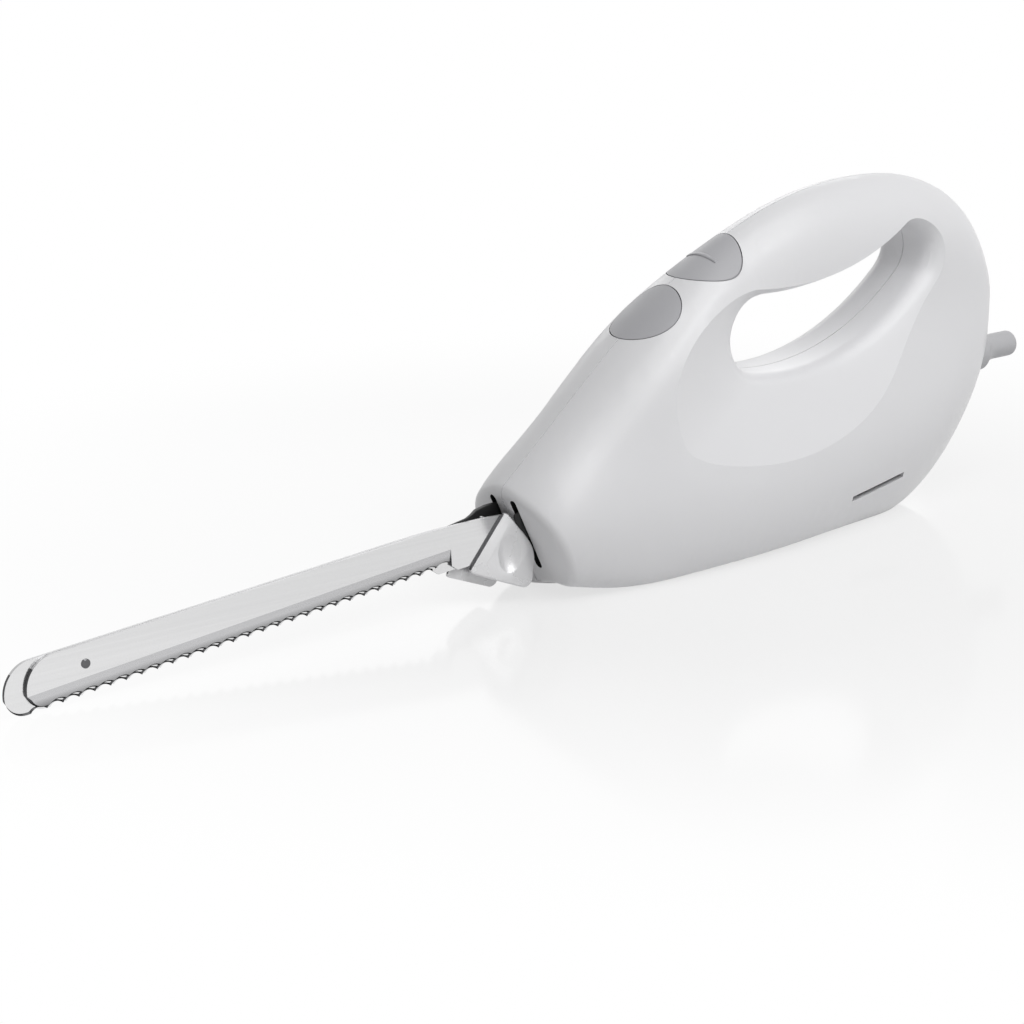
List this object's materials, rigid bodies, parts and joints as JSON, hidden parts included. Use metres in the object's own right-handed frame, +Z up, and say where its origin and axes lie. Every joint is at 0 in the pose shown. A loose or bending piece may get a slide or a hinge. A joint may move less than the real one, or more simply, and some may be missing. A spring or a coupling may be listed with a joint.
{
  "type": "electric carving knife",
  "caption": "Electric carving knife with twin serrated blades, a rounded white casing with a hand hole, ridge buttons and a worm-driven motor inside.",
  "frame": {"origin": "middle of the flat face that the casing stands on", "axes": "+Z up, +X towards the cord end, -X towards the blade tips, -Y to the user's left"},
  "size_m": [0.4886, 0.068, 0.137],
  "materials": {
    "casing_white": "glossy moulded white plastic",
    "button_grey": "fine-grained grey plastic",
    "grip_silver": "silver-grey plastic",
    "blade_steel": "ground stainless steel",
    "guard_rubber": "soft grey sleeve",
    "screw_steel": "plated steel",
    "slide_nylon": "natural nylon",
    "frame_metal": "die-cast",
    "shaft_steel": "turned steel",
    "core_iron": "stacked laminations",
    "copper": "enamelled copper",
    "carbon": "pressed carbon",
    "dark_moulding": "black moulding",
    "spring_steel": "spring steel"
  },
  "bodies": {
    "casing": {"left_casing": "casing_white", "right_casing": "casing_white", "casing_screws": "screw_steel", "power_switch": "dark_moulding", "power_spring": "spring_steel", "release_spring": "spring_steel", "cord_guard": "guard_rubber", "cord_clamp": "dark_moulding", "clamp_screws": "screw_steel", "terminal_block": "slide_nylon", "capacitor": "dark_moulding", "carrier_guide": "dark_moulding", "gear_axle": "shaft_steel", "gear_frame": "frame_metal", "worm_bush": "copper", "front_bearing": "screw_steel", "rear_bearing": "screw_steel", "stator_core": "core_iron", "field_coils": "copper", "stator_screws": "screw_steel", "rear_bracket": "frame_metal", "brush_holders": "dark_moulding", "carbon_brushes": "carbon"},
    "gear": {"drive_gear": "slide_nylon"},
    "armature": {"armature_shaft": "shaft_steel", "armature_core": "core_iron", "armature_windings": "copper", "commutator": "copper", "cooling_fan": "dark_moulding"},
    "left_slide": {"left_carrier": "dark_moulding", "left_catch": "spring_steel"},
    "right_slide": {"right_carrier": "dark_moulding", "right_catch": "spring_steel"},
    "left_blade_unit": {"left_blade": "blade_steel", "left_blade_grip": "grip_silver", "blade_rivet": "blade_steel"},
    "right_blade_unit": {"right_blade": "blade_steel", "right_blade_grip": "grip_silver"},
    "power_control": {"power_button": "button_grey", "switch_plunger": "dark_moulding"},
    "release_control": {"release_button": "button_grey", "release_fork": "slide_nylon"}
  },
  "joints": [
    {"name": "gear_turn", "type": "hinge", "parent": "casing", "child": "gear", "pos_m": [-0.04105, 0, 0.04526], "axis": [0, 1, 0], "range_deg": [0, 180]},
    {"name": "armature_spin", "type": "hinge", "parent": "casing", "child": "armature", "pos_m": [0.01001, 0, 0.03306], "axis": [0.9972, 0, 0.075], "range_deg": [0, 5400]},
    {"name": "left_stroke", "type": "slide", "parent": "casing", "child": "left_slide", "axis": [-0.9972, 0, -0.075], "range_m": [0, 0.008]},
    {"name": "right_stroke", "type": "slide", "parent": "casing", "child": "right_slide", "axis": [0.9972, 0, 0.075], "range_m": [0, 0.008]},
    {"name": "left_blade_pull", "type": "slide", "parent": "left_slide", "child": "left_blade_unit", "axis": [-0.9972, 0, -0.075], "range_m": [0, 0.06]},
    {"name": "right_blade_pull", "type": "slide", "parent": "right_slide", "child": "right_blade_unit", "axis": [-0.9972, 0, -0.075], "range_m": [0, 0.06]},
    {"name": "power_press", "type": "slide", "parent": "casing", "child": "power_control", "axis": [0.4573, 0, -0.8893], "range_m": [0, 0.0025], "stiffness_N_per_m": 600, "deforming": ["power_spring"]},
    {"name": "release_press", "type": "slide", "parent": "casing", "child": "release_control", "axis": [0.5741, 0, -0.8188], "range_m": [0, 0.0025], "stiffness_N_per_m": 600, "deforming": ["release_spring"]}
  ],
  "couplings": [
    {"joint": "armature_spin", "follows": "gear_turn", "ratio": 30},
    {"joint": "left_stroke", "follows": "gear_turn", "m_per_rad": 0.0025465},
    {"joint": "right_stroke", "follows": "gear_turn", "m_per_rad": 0.0025465},
    {"joint": "right_blade_pull", "follows": "left_blade_pull", "ratio": 1}
  ]
}
